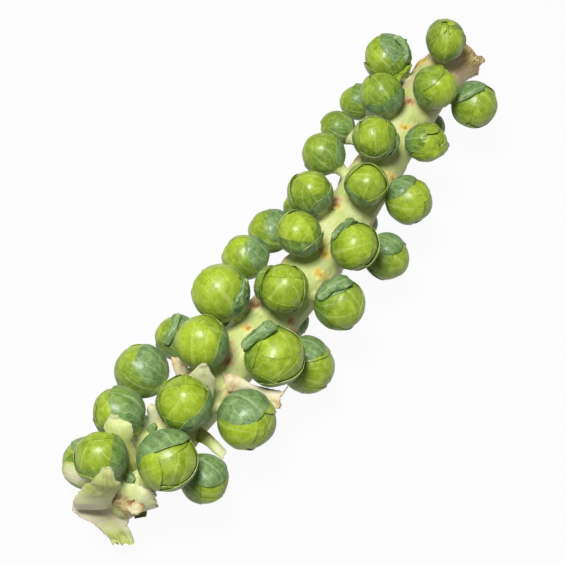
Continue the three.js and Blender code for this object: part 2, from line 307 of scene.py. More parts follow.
tan = node(tree, "ValToRGB", {0: scars},
           stops=[(0.15, "#dad5a4"), (0.40, "#dac28c"), (0.75, "#cba872"), (1.0, "#a07c4c")])
which = node(tree, "TexNoise", {"Vector": place, "Scale": 35, "Detail": 0})  # 30 mm, a scar or two
which = node(tree, "MapRange", {0: which, 1: 0.48, 2: 0.62})
cork = node(tree, "Mix", {0: which, 6: golden, 7: tan}, data_type="RGBA")
cork = node(tree, "Mix", {0: specks, 6: cork, 7: srgb("#84602c")}, data_type="RGBA")
with_scars = node(tree, "Mix", {0: healed, 6: skin, 7: cork}, data_type="RGBA")
wood = node(tree, "ValToRGB", {0: fibres}, stops=[(0.36, "#8a6a38"), (0.50, "#c2a368"), (0.64, "#e6d59c")])
rind_colour = node(tree, "Mix", {0: woody, 6: with_scars, 7: wood}, data_type="RGBA")
tree.links.new(rind_colour.outputs[2], shader.inputs["Base Color"])
relief = node(tree, "Bump", {"Height": fibres, "Strength": 0.15, "Distance": 0.0004})
relief = node(tree, "Bump", {"Height": grain, "Normal": relief, "Strength": 0.25, "Distance": 0.0003})
tree.links.new(relief.outputs[0], shader.inputs["Normal"])
stalk.data.materials.append(rind)
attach(stalk, "root")
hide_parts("stalk")


# ---------------------------------------------------------------------------
# Sprouts. Each is a tight ball of cupped leaves on a short neck, like a tiny cabbage. The outer
# leaves are blue-green with a waxy bloom and loose edges, the inner ones are glossy yellow-green.

LEAF_CELLS = 18
LEAF_THICKNESS = 0.00045
LEAF_STEP = 0.00022  # each leaf lies this far under the one outside it
LEAF_MARGIN = 0.14  # of a leaf's reach, the part that curls away from the ball
MIDRIB_HEIGHT = 0.0002
MIDRIB_HALF_WIDTH = 0.08  # of the leaf's
CRUMPLE_SIZE = 0.004
CRUMPLE_HEIGHT = 0.0020  # of the folds near a margin that curls
BALL_POINT = 0.03  # of its radius, by which a ball is drawn out at its top
BALL_LUMP_SIZE = 0.012
BALL_LUMP_HEIGHT = 0.0008
FRILL_SIZE = 0.003
FRILL_HEIGHT = 0.0010
NECK_SIDES = 14
NECK_RADIUS = 0.0042
NECK_FOOT = 1.35  # of its radius, where it leaves the skin
NECK_SWELL = (0.80, 0.95, 1.12, 1.45)  # from each ring to the next, up to the ball
NECK_SUNK = 0.0025  # into the stalk
NECK_TOP = 0.85  # of the ball's radius below its middle
NECK_EDGE = 160  # degrees from the top of the ball at which its leaves end on the neck
HEART_GAP = 0.0006  # between the innermost leaf and the heart
HEART_FLOOR = 0.003  # no heart comes nearer to the table
GREENER_AND_SHADED_BELOW = 0.40  # of age, gained by the low part of a leaf near the neck: partly its real greener base, partly painted shade
LOOSE_RIM = 0.55  # how pale the margin of a loose leaf is
ROLLED_RIM = 0.3
INNER_RIM = 0.22

# The loose leaves of each sprout, from the outermost in: the turn of its middle round the neck
# and its fall from the top, its reach from there to its tip and to its sides, all in degrees,
# its age from 0 lime to 1 blue-green, or under 0 to stay lime low down, the curl of its margin
# in degrees, and how many mm its middle bulges off the ball.
LOOSE_LEAVES = {
    "sprout_00": [
        (28, 80, 52, 42, 0.1, 8, 0.3), (-62, 90, 70, 54, 0.4, 16, 0), (112, 90, 70, 54, 0.4, 16, 0),
        (-155, 85, 70, 60, 0.25, 16, 0), (80, 25, 15, 14, 0, 50, 0.8), (-30, 20, 13, 13, 0, 44, 0.6),
        (180, 22, 14, 14, 0, 50, 0.6)],
    "sprout_02": [(-104, 129, 62, 55, 0.95, 3, 0.6)],
    "sprout_03": [
        (62, 140, 36, 42, 0.15, 60, 1.2), (121, 126, 42, 40, 0.75, 60, 1.2),
        (115, 100, 66, 58, 0.8, 20, 0.3), (-40, 95, 40, 45, 0.15, 6, 0), (44, 81, 31, 40, 0.05, 8, 0)],
    "sprout_05": [
        (70, 53, 54, 44, 0, 30, 0.9), (-10, 120, 48, 75, 0.5, 4, 0), (-85, 72, 66, 66, 0.34, 3, 0)],
    "sprout_06": [(120, 115, 50, 60, 0.5, 16, 0.3), (20, 110, 40, 60, 0.2, 4, 0)],
    "sprout_08": [(40, 130, 47, 80, 0.7, 4, 0), (-60, 80, 66, 60, 0.1, 4, 0), (60, 75, 78, 62, 0.32, 3, 0)],
    "sprout_10": [
        (-70, 135, 46, 62, 0.75, 36, 0.6), (-52, 84, 40, 40, 0.45, 46, 0.8),
        (30, 84, 50, 30, 0.05, 46, 1.6), (-110, 62, 36, 34, 0.3, 50, 1), (-10, 60, 44, 34, 0, 50, 0.6),
        (80, 60, 50, 36, 0.15, 50, 1.2)],
    "sprout_11": [(172, 131, 45, 45, 0.85, 12, 0.4), (115, 73, 68, 68, 0.3, 4, 0)],
    "sprout_13": [
        (114, 88, 16, 11, 0.7, 45, 1.6), (125, 108, 70, 60, 0.35, 4, 0), (-60, 100, 58, 52, 0.3, 4, 0),
        (30, 140, 36, 70, 0.5, 4, 0)],
    "sprout_15": [(-95, 109, 43, 46, 0.95, 2, 1.8), (-30, 99, 79, 76, 0.1, 4, 0)],
    "sprout_16": [(132, 138, 48, 46, 0.9, 28, 0.4)],
    "sprout_18": [
        (165, 95, 60, 60, 0.2, 5, 0), (-105, 100, 56, 55, 0.25, 5, 0), (5, 115, 46, 60, 0.65, 2, 0)],
    "sprout_20": [(-107, 107, 46, 48, 0.8, 3, 1)],
    "sprout_21": [(-70, 100, 70, 64, 0.2, 6, 0), (90, 130, 38, 60, 0.9, 16, 0.3)],
    "sprout_23": [
        (-105, 105, 42, 44, 0.85, 6, 0.3), (122, 103, 68, 70, 0.3, 4, 0), (-30, 43, 49, 49, 0, 3, 0)],
    "sprout_24": [(117, 135, 59, 59, 0.9, 4, 0.3), (30, 75, 45, 50, 0, 3, 0)],
    "sprout_26": [
        (80, 122, 42, 50, 0.6, 20, 0.3), (-95, 100, 68, 62, 0.15, 4, 0), (14, 104, 48, 62, 0.55, 2, 0),
        (0, 75, 85, 78, 0, 4, 0)],
    "sprout_28": [(-109, 108, 52, 48, 1, 4, 0.5)],
    "sprout_29": [(116, 114, 47, 50, 0.95, 4, 0.8), (20, 80, 50, 60, 0.05, 2, 0)],
    "sprout_31": [(-85, 118, 58, 46, 0.45, 24, 3.2), (140, 103, 63, 60, 0.3, 5, 0)],
    "sprout_33": [(-115, 127, 58, 54, 0.95, 3, 1.2)],
    "sprout_34": [(115, 132, 52, 55, 1, 4, 0.2), (68, 45, 36, 40, 0, 3, 0), (45, 29, 30, 36, 0, 3, 0)],
    "sprout_36": [(-103, 108, 44, 38, 1, 4, 0.5), (85, 110, 66, 75, 0.35, 4, 0)],
    "sprout_37": [(140, 105, 46, 50, 0.8, 10, 0.2), (10, 110, 50, 60, 0.45, 4, 0)],
    "sprout_39": [(119, 124, 65, 65, 0.75, 3, 0), (21, 50, 58, 58, 0, 4, 0)],
    "sprout_41": [
        (-104, 92, 57, 57, 0.95, 3, 0.6), (-40, 92, 62, 58, -0.15, 8, 0.2), (-150, 80, 50, 46, 0, 2, 0)],
    "sprout_42": [(125, 123, 62, 62, 0.95, 3, 0.2)],
    "sprout_44": [(95, 105, 62, 72, 0.8, 4, 0), (-55, 115, 50, 60, 0.5, 3, 0)],
    "sprout_46": [(-109, 85, 51, 55, 0.9, 2, 0)],
    "sprout_47": [(121, 85, 68, 62, 0.75, 2, 0)],
    "sprout_49": [
        (-120, 110, 84, 76, 0.85, 6, 0.6), (-30, 95, 58, 50, 0, 3, 0.3), (90, 108, 56, 66, 0.4, 5, 0)],
    "sprout_50": [(-40, 110, 60, 60, 0.4, 5, 0), (140, 95, 60, 60, 0.8, 5, 0)],
    "sprout_52": [(122, 99, 48, 58, 0.7, 5, 0.2), (-20, 118, 40, 60, 0.15, 2, 0)],
}

# Loose leaves whose edge has rolled up. The roll follows the ball through three places, each a
# turn and a fall in degrees, and has a radius in mm, how flat it is, how much it is frilled, and
# its age.
ROLLED_LEAVES = {
    "sprout_02": [((-50, 104), (-78, 83), (-108, 69), 4.8, 0.55, 0.3, 0.95)],
    "sprout_03": [
        ((112, 66), (104, 96), (82, 124), 3.6, 0.9, 2.2, 1),
        ((124, 146), (66, 146), (14, 128), 3, 0.8, 2.4, 0.2)],
    "sprout_23": [((-60, 92), (-89, 75), (-125, 76), 3.4, 0.7, 1.2, 0.95)],
    "sprout_28": [((-58, 106), (-86, 84), (-128, 70), 6.6, 0.55, 0.9, 0.95)],
    "sprout_34": [((128, 86), (98, 92), (68, 103), 4.8, 0.45, 1.2, 0.95)],
    "sprout_36": [((-62, 102), (-85, 78), (-122, 68), 6.2, 0.7, 1.1, 0.95)],
    "sprout_37": [((128, 78), (80, 96), (40, 96), 3.6, 0.7, 0.9, 0.95)],
}

# The blank leaf: a square grid drawn into a disc, with its rows crowded at the margin.
bpy.ops.mesh.primitive_grid_add(x_subdivisions=LEAF_CELLS, y_subdivisions=LEAF_CELLS, size=2)
blank_leaf = bpy.context.active_object
grid_x, grid_y, _ = read_points(blank_leaf).T
disc_x = grid_x * np.sqrt(1 - grid_y ** 2 / 2)
disc_y = grid_y * np.sqrt(1 - grid_x ** 2 / 2)
toward_edge = np.hypot(disc_x, disc_y)
closer = (1 - (1 - toward_edge) ** 1.35) / np.maximum(toward_edge, 1e-6)
disc_x, disc_y, toward_edge = disc_x * closer, disc_y * closer, toward_edge * closer
round_leaf = np.arctan2(disc_x, disc_y)  # 0 at the tip, pi at the base
CROWNWARD = np.array([1.0, 0, 0])


def leaves_of(name):
    """The leaves of a sprout, from the outermost in: the loose ones in the table, or else two or
    three drawn at random, then three that hold the ball from below, then four inner ones."""
    rng = random.Random(name)
    loose = LOOSE_LEAVES.get(name)
    start = rng.uniform(0, 360)
    if loose is None:
        loose = [(start + 137 * k, rng.uniform(96, 112), rng.uniform(44, 58), rng.uniform(46, 62),
                  rng.uniform(0.5, 1.0), rng.uniform(6, 26), rng.uniform(0, 0.8))
                 for k in range(rng.choice((2, 3)))]
    leaves = list(loose)
    for k in range(3):
        leaves.append((start + 60 + 120 * k, 114, rng.uniform(46, 56), 66, rng.uniform(0.12, 0.4),
                       rng.uniform(4, 9), 0))
    for k in range(4):
        leaves.append((start + 137.5 * k, 84 - 14 * k + rng.uniform(-5, 5), rng.uniform(62, 72),
                       rng.uniform(62, 74), rng.uniform(0, 0.26), rng.uniform(4, 10), 0))
    return leaves


def unit(vectors):
    return vectors / np.maximum(np.linalg.norm(vectors, axis=1), 1e-9)[:, None]


def squeezed(points, head):
    """Points round a ball's centre, drawn in along the direction the ball is narrower in."""
    narrow, factor = head["squeeze"]
    return points - (1 - factor) * (points @ np.array(narrow))[:, None] * np.array(narrow)


def level_way(head, turn):
    """The direction square to a neck, at that turn in degrees from the crown."""
    turn = math.radians(turn)
    return math.cos(turn) * CROWNWARD + math.sin(turn) * np.cross(head["out"], CROWNWARD)


def cupped_leaf(head, leaf, depth, rng):
    """The points of one leaf wrapped on the ball, and how far up the ball each one is."""
    turn, fall, tip, side, _, curl, bulge = leaf
    out, radius = head["out"], head["radius"]
    level = level_way(head, turn)
    fall = math.radians(fall)
    middle = math.cos(fall) * out + math.sin(fall) * level
    tipward = math.sin(fall) * out - math.cos(fall) * level
    right = np.cross(tipward, middle)

    # The outline: an egg shape with a few waves, and small teeth where the margin curls most.
    base = NECK_EDGE - math.degrees(fall)
    forward = np.cos(round_leaf)
    reach = np.where(forward > 0, tip, base) * forward ** 2 + side * (1 - forward ** 2)
    phase = rng.uniform(0, 6.28)
    ragged = min(1.0, curl / 30)
    waves = 0.030 * (side > 30) * np.sin(3 * round_leaf + phase)
    waves += 0.012 * np.sin(7 * round_leaf + 2 * phase)
    waves += 0.012 * ragged * np.sin(16 * round_leaf + 3 * phase)
    reach = np.radians(reach * (1 + waves))

    # The margin bends outwards round a small circle; the rest follows the ball.
    margin = np.clip((toward_edge - 1 + LEAF_MARGIN) / LEAF_MARGIN, 0, 1)
    bend = np.radians(curl * np.clip(0.8 + 0.9 * np.sin(3 * round_leaf + phase), 0.1, 2)) + 0.01
    bend_radius = LEAF_MARGIN * reach * radius / bend
    angle = reach * np.minimum(toward_edge, 1 - LEAF_MARGIN) + bend_radius / radius * np.sin(margin * bend)
    lift = bend_radius * (1 - np.cos(margin * bend))
    ray = (np.cos(angle)[:, None] * middle
           + np.sin(angle)[:, None] * (forward[:, None] * tipward
                                       + np.sin(round_leaf)[:, None] * right))

    # No point goes further down the ball than the neck's edge.
    up = ray @ out
    lowest = math.cos(math.radians(NECK_EDGE))
    beside = math.sqrt(1 - lowest ** 2) * unit(ray - up[:, None] * out)
    ray = np.where((up < lowest)[:, None], beside + lowest * out, ray)
    up = np.maximum(up, lowest)

    free = smoothstep(-0.95, -0.5, up)  # 0 where the leaf is held at the neck
    midrib = np.exp(-((disc_x / MIDRIB_HALF_WIDTH) ** 2)) * (1 - toward_edge * (forward > 0))
    distance = (radius - depth) * (1 + BALL_POINT * np.clip(up, 0, 1) ** 2) + MIDRIB_HEIGHT * midrib * free
    distance += (lift + bulge / 1000 * (1 - toward_edge ** 5)) * free
    seed = 40 * head["root"][0]
    distance += BALL_LUMP_HEIGHT * lumps(ray * radius, BALL_LUMP_SIZE, seed)
    crumple = CRUMPLE_HEIGHT * min(1.0, max(0.0, curl / 40 - 0.3)) * toward_edge
    distance += crumple * lumps(ray * radius, CRUMPLE_SIZE, seed) * free
    points = head["centre"] + squeezed(ray * distance[:, None], head)
    points[:, 2] = np.maximum(points[:, 2], 0.0001 + 0.5 * depth)  # pressed flat on the table
    return points, up


def rolled_leaf(head, start, middle, end, radius, flatness, frill, rng):
    """The points of a leaf edge rolled into a tube that lies along the ball."""
    rays = [math.cos(math.radians(fall)) * head["out"] + math.sin(math.radians(fall)) * level_way(head, turn)
            for turn, fall in (start, middle, end)]
    v = (grid_y + 1) / 2
    bow = np.array([rays[0], 2 * rays[1] - (rays[0] + rays[2]) / 2, rays[2]])
    ray = unit(np.stack([(1 - v) ** 2, 2 * v * (1 - v), v ** 2], -1) @ bow)
    run = np.stack([2 * v - 2, 2 - 4 * v, 2 * v], -1) @ bow
    beside = unit(np.cross(run, ray))

    # The roll tapers at both ends, more at the first, and winds a little over one turn.
    thick = radius / 1000 * (0.45 + 0.55 * np.sqrt(np.clip(1 - (1 - 2 * v) ** 4, 0, 1)))
    thick *= (0.80 + 0.32 * v) * (1 + 0.10 * np.sin(7 * v + rng.uniform(0, 6)))
    around = 1.10 * math.pi * grid_x + 0.4
    coil = thick * (0.80 + 0.20 * grid_x) * (1 + 0.12 * frill * np.sin(3 * around + 11 * v))
    height = head["radius"] + flatness * (0.55 * thick + coil * np.cos(around))
    points = head["centre"] + ray * height[:, None] + beside * (coil * np.sin(around))[:, None]
    points += FRILL_HEIGHT * (0.4 + frill) * lumps(points, FRILL_SIZE, 7)[:, None] * ray
    points[:, 2] = np.maximum(points[:, 2], 0.0003)  # clear of the table
    return points


# The neck, turned like a vase: a disc extruded four times, each ring scaled from the one below.
bpy.ops.mesh.primitive_circle_add(vertices=NECK_SIDES, radius=NECK_FOOT, fill_type="NGON")
blank_neck = bpy.context.active_object
bpy.ops.object.mode_set(mode="EDIT")
bpy.ops.mesh.select_all(action="SELECT")
for step, swell in enumerate(NECK_SWELL, 1):
    bpy.ops.mesh.extrude_region_move(TRANSFORM_OT_translate={"value": (0, 0, 0.25)})
    bpy.ops.transform.resize(value=(swell, swell, 1), center_override=(0, 0, 0.25 * step))
bpy.ops.mesh.select_all(action="SELECT")
bpy.ops.mesh.normals_make_consistent(inside=False)
bpy.ops.object.mode_set(mode="OBJECT")

# The heart inside the last leaf, so that no gap between leaves looks into an empty ball.
bpy.ops.mesh.primitive_ico_sphere_add(subdivisions=3, radius=1)
blank_heart = bpy.context.active_object


def copy_of(blank, points, **painted):
    """A copy of a blank with its own mesh, at those points, with the attributes given."""
    piece = bpy.data.objects.new("piece", blank.data.copy())
    bpy.context.collection.objects.link(piece)
    write_points(piece, points)
    for name, values in painted.items():
        paint(piece, name, values)
    return piece


def join(pieces, name):
    make_active(pieces[0])
    for piece in pieces:
        piece.select_set(True)
    if len(pieces) > 1:
        bpy.ops.object.join()
    pieces[0].name = name
    return pieces[0]


def neck_of(head):
    seat = head["foot"] - NECK_SUNK * head["out"]
    height = float((head["centre"] - seat) @ head["out"]) - NECK_TOP * head["radius"]
    x, y, z = read_points(blank_neck).T[:, :, None]
    sideways = np.cross(head["out"], CROWNWARD)
    points = seat + NECK_RADIUS * (x * CROWNWARD + y * sideways) + height * z * head["out"]
    return copy_of(blank_neck, points, age=0.0, green=0.6)


def heart_of(head, depth):
    points = head["centre"] + squeezed(read_points(blank_heart) * (head["radius"] - depth), head)
    points[:, 2] = np.maximum(points[:, 2], HEART_FLOOR)
    return copy_of(blank_heart, points, age=0.0)


# Sprout leaf: thin, crisp and waxy. Its wax gives a soft wide highlight. The midrib and the
# veins that fan out from the leaf's base are paler than the blade, the blade swells a little
# between them, its thin margin is pale, and a leaf that has seen light is blue-green.
leaf_finish, tree, shader = finish_of("waxy_leaf", Coat_Weight=0.28, Coat_Roughness=0.25,
                                      Specular_IOR_Level=0.35, Subsurface_Weight=0.10,
                                      Subsurface_Radius=[0.002, 0.003, 0.0008])
place = node(tree, "TexCoord").outputs["Object"]
across, along, _ = node(tree, "SeparateXYZ", {0: node(tree, "TexCoord").outputs["UV"]}).outputs
waver = node(tree, "TexNoise", {"Vector": place, "Scale": 150, "Detail": 2})  # 7 mm
age, rim = (node(tree, "Attribute", attribute_name=name).outputs["Fac"] for name in ("age", "rim"))

# The fan of veins: the angle round the leaf's base, folded every 18 degrees and again at half of
# that further out, times the distance from the base, is the distance to the nearest vein.
from_rib = node(tree, "Math", {0: across, 1: 0.5}, operation="SUBTRACT")
from_base = node(tree, "Math", {0: along, 1: 0.08}, operation="ADD")
fan = node(tree, "Math", {0: from_rib, 1: from_base}, operation="ARCTAN2")
fan = node(tree, "Math", {0: waver, 1: 0.22, 2: fan}, operation="MULTIPLY_ADD")
fan = node(tree, "Math", {0: fan, 1: 0.11}, operation="SUBTRACT")
far = node(tree, "Math", {0: from_rib, 1: 2.0}, operation="POWER")
far = node(tree, "Math", {0: from_base, 1: from_base, 2: far}, operation="MULTIPLY_ADD")
far = node(tree, "Math", {0: far}, operation="SQRT")
near_vein = node(tree, "Math", {0: fan, 1: 0.16}, operation="PINGPONG")
near_vein = node(tree, "Math", {0: near_vein, 1: far}, operation="MULTIPLY")
fork = node(tree, "Math", {0: fan, 1: 0.08}, operation="PINGPONG")
fork = node(tree, "Math", {0: fork, 1: far}, operation="MULTIPLY")
veins = node(tree, "MapRange", {0: near_vein, 1: 0.002, 2: 0.013, 3: 1.0, 4: 0.0})
forks = node(tree, "MapRange", {0: fork, 1: 0.001, 2: 0.007, 3: 0.7, 4: 0.0})
out_there = node(tree, "MapRange", {0: far, 1: 0.42, 2: 0.60})
forks = node(tree, "Math", {0: forks, 1: out_there}, operation="MULTIPLY")
veins = node(tree, "Math", {0: veins, 1: forks}, operation="MAXIMUM")
beside_rib = node(tree, "Math", {0: from_rib}, operation="ABSOLUTE")
rib_width = node(tree, "MapRange", {0: along, 3: 0.040, 4: 0.008})
midrib = node(tree, "Math", {0: beside_rib, 1: rib_width}, operation="DIVIDE")
midrib = node(tree, "MapRange", {0: midrib, 1: 0.3, 2: 1.0, 3: 1.0, 4: 0.0})
veins = node(tree, "Math", {0: veins, 1: midrib}, operation="MAXIMUM")

# The blade's colour: mottled, by its age, which low on the ball also carries painted shade, with its veins,
# its pale base and its pale margin.
mottle = node(tree, "TexNoise", {"Vector": place, "Scale": 160, "Detail": 5, "Roughness": 0.65})  # 6 mm
crinkle = node(tree, "TexNoise", {"Vector": place, "Scale": 620, "Detail": 3})  # 1.6 mm
tone = node(tree, "Math", {0: crinkle, 1: 0.4, 2: mottle}, operation="MULTIPLY_ADD")
tone = node(tree, "Math", {0: tone, 1: 0.2}, operation="SUBTRACT")
young, grown, old = (
    node(tree, "ValToRGB", {0: tone}, stops=[(0.30, dark), (0.50, fair), (0.70, light)])
    for dark, fair, light in (("#8ba41b", "#a0b829", "#b6cb43"), ("#58741e", "#75922a", "#93ae46"),
                              ("#56743e", "#739356", "#92b070")))
to_grown = node(tree, "MapRange", {0: age, 1: 0.0, 2: 0.5})
to_old = node(tree, "MapRange", {0: age, 1: 0.62, 2: 0.92})
blade = node(tree, "Mix", {0: to_grown, 6: young, 7: grown}, data_type="RGBA")
blade = node(tree, "Mix", {0: to_old, 6: blade, 7: old}, data_type="RGBA")
vein_colour = node(tree, "Mix", {0: age, 6: srgb("#d3e07c"), 7: srgb("#bdcfa2")}, data_type="RGBA")
showing = node(tree, "MapRange", {0: age, 3: 0.29, 4: 0.40})
showing = node(tree, "Math", {0: veins, 1: showing}, operation="MULTIPLY")
blade = node(tree, "Mix", {0: showing, 6: blade, 7: vein_colour}, data_type="RGBA")
pale_base = node(tree, "MapRange", {0: far, 1: 0.05, 2: 0.34, 3: 0.75, 4: 0.0},
                 interpolation_type="SMOOTHSTEP")
blade = node(tree, "Mix", {0: pale_base, 6: blade, 7: srgb("#c9d99c")}, data_type="RGBA")
from_side = node(tree, "Math", {0: 0.5, 1: beside_rib}, operation="SUBTRACT")
from_tip = node(tree, "Math", {0: 1.0, 1: along}, operation="SUBTRACT")
from_edge = node(tree, "Math", {0: from_tip, 1: from_side}, operation="MINIMUM")
rim_shows = node(tree, "MapRange", {0: waver, 1: 0.40, 2: 0.60})
rim = node(tree, "Math", {0: rim, 1: rim_shows}, operation="MULTIPLY")
edge = node(tree, "MapRange", {0: from_edge, 1: 0.0, 2: 0.020, 3: rim, 4: 0.0})
blade = node(tree, "Mix", {0: edge, 6: blade, 7: srgb("#cddb8e")}, data_type="RGBA")
tree.links.new(blade.outputs[2], shader.inputs["Base Color"])
gloss = node(tree, "MapRange", {0: age, 3: 0.45, 4: 0.58})
tree.links.new(gloss.outputs[0], shader.inputs["Roughness"])
swell = node(tree, "MapRange", {0: near_vein, 1: 0.0, 2: 0.05})
relief = node(tree, "Bump", {"Height": swell, "Strength": 0.30, "Distance": 0.0003})
relief = node(tree, "Bump", {"Height": mottle, "Normal": relief, "Strength": 0.35, "Distance": 0.0008})
puckers = node(tree, "Math", {0: crinkle, 1: age}, operation="MULTIPLY")
relief = node(tree, "Bump", {"Height": puckers, "Normal": relief, "Strength": 0.5, "Distance": 0.0006})
tree.links.new(relief.outputs[0], shader.inputs["Normal"])

# Petiole flesh: crisp, watery and pale, with fine fibres about 1 mm apart that run along it. It
# goes from cream inside to yellow-green skin, and dries to pinkish tan and then brown at a tear.
flesh, tree, shader = finish_of("petiole_flesh", Roughness=0.5, Subsurface_Weight=0.5,
                                Subsurface_Radius=[0.006, 0.005, 0.0018])
place = node(tree, "TexCoord").outputs["Object"]
stretched = node(tree, "Mapping", {"Vector": node(tree, "TexCoord").outputs["UV"], "Scale": [1, 0.09, 1]})
fibres = node(tree, "TexNoise", {"Vector": stretched, "Scale": 20, "Detail": 4, "Roughness": 0.65})
blotches = node(tree, "TexNoise", {"Vector": place, "Scale": 130, "Detail": 4, "Roughness": 0.6})  # 8 mm
green, brown = (node(tree, "Attribute", attribute_name=name).outputs["Fac"]
                for name in ("green", "brown"))
green = node(tree, "Math", {0: blotches, 1: 0.9, 2: green}, operation="MULTIPLY_ADD")
green = node(tree, "Math", {0: fibres, 1: 1.1, 2: green}, operation="MULTIPLY_ADD")
green = node(tree, "MapRange", {0: green, 1: 0.75, 2: 2.3})
pale = node(tree, "ValToRGB", {0: green},
            stops=[(0.0, "#e6dcc4"), (0.35, "#e4e3b8"), (0.6, "#d3dc98"), (0.8, "#bfc86c"),
                   (1.0, "#74843a")])
patchy = node(tree, "Math", {0: blotches, 1: 1.2, 2: -0.6}, operation="MULTIPLY_ADD")
brown = node(tree, "Math", {0: brown, 1: patchy}, operation="ADD")
dry = node(tree, "MapRange", {0: brown, 1: 0.10, 2: 0.45})
dried = node(tree, "ValToRGB", {0: brown},
             stops=[(0.15, "#e2cb9c"), (0.40, "#c8a26c"), (0.70, "#94693a"), (1.0, "#5b3f20")])
flesh_colour = node(tree, "Mix", {0: dry, 6: pale, 7: dried}, data_type="RGBA")
tree.links.new(flesh_colour.outputs[2], shader.inputs["Base Color"])
relief = node(tree, "Bump", {"Height": fibres, "Strength": 0.7, "Distance": 0.0007})
relief = node(tree, "Bump", {"Height": blotches, "Normal": relief, "Strength": 0.5, "Distance": 0.0010})
tree.links.new(relief.outputs[0], shader.inputs["Normal"])

blank_leaf.data.materials.append(leaf_finish)
blank_heart.data.materials.append(leaf_finish)
blank_neck.data.materials.append(flesh)

for name in sprout_nodes:
    head = heads[name]
    rng = random.Random(name)
    leaves = leaves_of(name)
    loose_count = len(LOOSE_LEAVES.get(name, ())) or 3
    blades = []
    for k, leaf in enumerate(leaves):
        points, up = cupped_leaf(head, leaf, k * LEAF_STEP, rng)
        # Low on the ball a leaf is painted a darker green: partly its real greener base, partly painted
        # shade.
        greener_and_shaded = GREENER_AND_SHADED_BELOW * smoothstep(0.75, -0.5, up) + rng.uniform(-0.04, 0.06)
        blades.append(copy_of(blank_leaf, points, age=np.clip(leaf[4] + greener_and_shaded, 0, 1),
                              rim=LOOSE_RIM if k < loose_count else INNER_RIM))
    for *roll, age in ROLLED_LEAVES.get(name, ()):
        blades.append(copy_of(blank_leaf, rolled_leaf(head, *roll, rng), age=age, rim=ROLLED_RIM))
    ball = join(blades, "leaves")
    finish_with(ball, "SOLIDIFY", thickness=LEAF_THICKNESS, offset=-1, use_even_offset=False)
    heart_depth = len(leaves) * LEAF_STEP + HEART_GAP
    sprout = join([ball, neck_of(head), heart_of(head, heart_depth)], "leafy_" + name)
    bpy.ops.object.shade_smooth_by_angle(angle=math.radians(45))
    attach(sprout, "root")
    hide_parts(name)
for blank in (blank_neck, blank_heart):
    bpy.data.objects.remove(blank)


# ---------------------------------------------------------------------------
# Leaf stubs. Fleshy leaf stalks torn off by hand: crisp pale flesh with long fibres, thick along
# the middle and thin at the edges. They end in ragged tears, and the oldest wounds have browned.

STRIP_CELLS_ACROSS = 14
STRIP_CELLS_ALONG = 32
STRIP_EDGE = 0.3  # of a strip's thickness is left at its edges
NICK_DEPTH = 0.06  # of a strip's half width, in or out at its edges
FIBRE_COUNT = 7
FIBRE_HEIGHT = 0.00025
RUFFLE_SIZE = 0.005
RUFFLE_HEIGHT = 0.0006
TORN_RUFFLE_HEIGHT = 0.0014  # more at the torn end
TORN_BROWN = 0.12  # more brown along a tear

